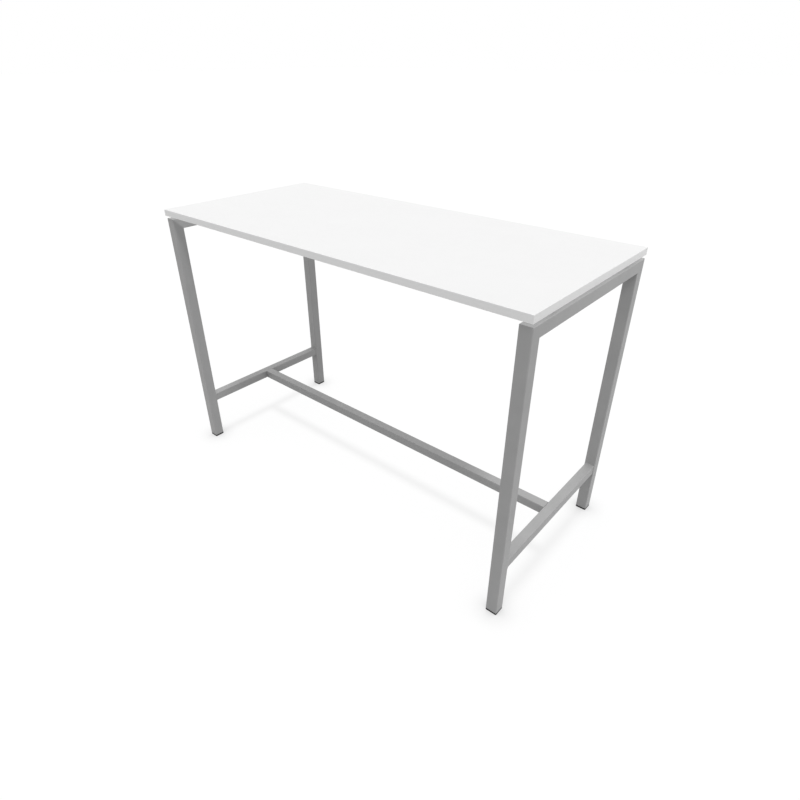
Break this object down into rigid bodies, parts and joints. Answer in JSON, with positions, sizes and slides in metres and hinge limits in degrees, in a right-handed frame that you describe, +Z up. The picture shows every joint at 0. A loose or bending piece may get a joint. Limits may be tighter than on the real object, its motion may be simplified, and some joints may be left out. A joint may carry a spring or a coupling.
{
  "type": "standing meeting table",
  "caption": "Bar-height rectangular meeting table: white laminated top on square-tube goalpost end frames, tied by a central low stretcher, standing on levelling glides.",
  "frame": {"origin": "on the floor, under the centre of the top", "axes": "+X along the table's length to the right, +Y across it to the back, +Z up"},
  "size_m": [1.6, 0.708, 1.048],
  "materials": {
    "white_laminate": "white high-pressure laminate with a fine pearl texture",
    "white_edge_band": "white plastic edge band, satin",
    "particle_board": "raw pressed wood chips",
    "silver_powder_coat": "silver-grey powder coat, satin with a fine texture",
    "zinc_steel": "zinc-plated steel",
    "brass_sleeve": "turned brass",
    "black_plastic": "moulded black nylon, fine grain"
  },
  "bodies": {
    "frame": {"core_board": "particle_board", "top_laminate": "white_laminate", "backing_laminate": "white_laminate", "front_edge_band": "white_edge_band", "back_edge_band": "white_edge_band", "left_edge_band": "white_edge_band", "right_edge_band": "white_edge_band", "left_front_leg": "silver_powder_coat", "left_back_leg": "silver_powder_coat", "right_front_leg": "silver_powder_coat", "right_back_leg": "silver_powder_coat", "left_top_tube": "silver_powder_coat", "right_top_tube": "silver_powder_coat", "left_foot_rail": "silver_powder_coat", "right_foot_rail": "silver_powder_coat", "stretcher": "silver_powder_coat", "left_stretcher_spigot": "zinc_steel", "right_stretcher_spigot": "zinc_steel", "left_stretcher_screw": "zinc_steel", "right_stretcher_screw": "zinc_steel", "front_beam": "silver_powder_coat", "back_beam": "silver_powder_coat", "left_front_beam_bracket": "silver_powder_coat", "left_back_beam_bracket": "silver_powder_coat", "right_front_beam_bracket": "silver_powder_coat", "right_back_beam_bracket": "silver_powder_coat", "left_front_beam_screw": "zinc_steel", "left_back_beam_screw": "zinc_steel", "right_front_beam_screw": "zinc_steel", "right_back_beam_screw": "zinc_steel", "left_front_spacer": "black_plastic", "left_back_spacer": "black_plastic", "right_front_spacer": "black_plastic", "right_back_spacer": "black_plastic", "left_front_board_insert": "brass_sleeve", "left_back_board_insert": "brass_sleeve", "right_front_board_insert": "brass_sleeve", "right_back_board_insert": "brass_sleeve", "left_front_top_screw": "zinc_steel", "left_back_top_screw": "zinc_steel", "right_front_top_screw": "zinc_steel", "right_back_top_screw": "zinc_steel", "left_front_leg_plug": "black_plastic", "left_back_leg_plug": "black_plastic", "right_front_leg_plug": "black_plastic", "right_back_leg_plug": "black_plastic", "left_front_plug_nut": "zinc_steel", "left_back_plug_nut": "zinc_steel", "right_front_plug_nut": "zinc_steel", "right_back_plug_nut": "zinc_steel"},
    "left_front_pad": {"left_front_glide_pad": "black_plastic"},
    "left_back_pad": {"left_back_glide_pad": "black_plastic"},
    "right_front_pad": {"right_front_glide_pad": "black_plastic"},
    "right_back_pad": {"right_back_glide_pad": "black_plastic"},
    "left_front_stud": {"left_front_glide_stud": "zinc_steel"},
    "left_back_stud": {"left_back_glide_stud": "zinc_steel"},
    "right_front_stud": {"right_front_glide_stud": "zinc_steel"},
    "right_back_stud": {"right_back_glide_stud": "zinc_steel"}
  },
  "joints": [
    {"name": "left_front_glide_travel", "type": "slide", "parent": "frame", "child": "left_front_pad", "axis": [0, 0, -1], "range_m": [0, 0.01]},
    {"name": "left_back_glide_travel", "type": "slide", "parent": "frame", "child": "left_back_pad", "axis": [0, 0, -1], "range_m": [0, 0.01]},
    {"name": "right_front_glide_travel", "type": "slide", "parent": "frame", "child": "right_front_pad", "axis": [0, 0, -1], "range_m": [0, 0.01]},
    {"name": "right_back_glide_travel", "type": "slide", "parent": "frame", "child": "right_back_pad", "axis": [0, 0, -1], "range_m": [0, 0.01]},
    {"name": "left_front_stud_turn", "type": "hinge", "parent": "left_front_pad", "child": "left_front_stud", "pos_m": [-0.78, -0.329, 0], "axis": [0, 0, -1], "range_deg": [0, 2880]},
    {"name": "left_back_stud_turn", "type": "hinge", "parent": "left_back_pad", "child": "left_back_stud", "pos_m": [-0.78, 0.329, 0], "axis": [0, 0, -1], "range_deg": [0, 2880]},
    {"name": "right_front_stud_turn", "type": "hinge", "parent": "right_front_pad", "child": "right_front_stud", "pos_m": [0.78, -0.329, 0], "axis": [0, 0, -1], "range_deg": [0, 2880]},
    {"name": "right_back_stud_turn", "type": "hinge", "parent": "right_back_pad", "child": "right_back_stud", "pos_m": [0.78, 0.329, 0], "axis": [0, 0, -1], "range_deg": [0, 2880]}
  ],
  "couplings": [
    {"joint": "left_front_stud_turn", "follows": "left_front_glide_travel", "rad_per_m": 5026.5},
    {"joint": "left_back_stud_turn", "follows": "left_back_glide_travel", "rad_per_m": 5026.5},
    {"joint": "right_front_stud_turn", "follows": "right_front_glide_travel", "rad_per_m": 5026.5},
    {"joint": "right_back_stud_turn", "follows": "right_back_glide_travel", "rad_per_m": 5026.5}
  ]
}
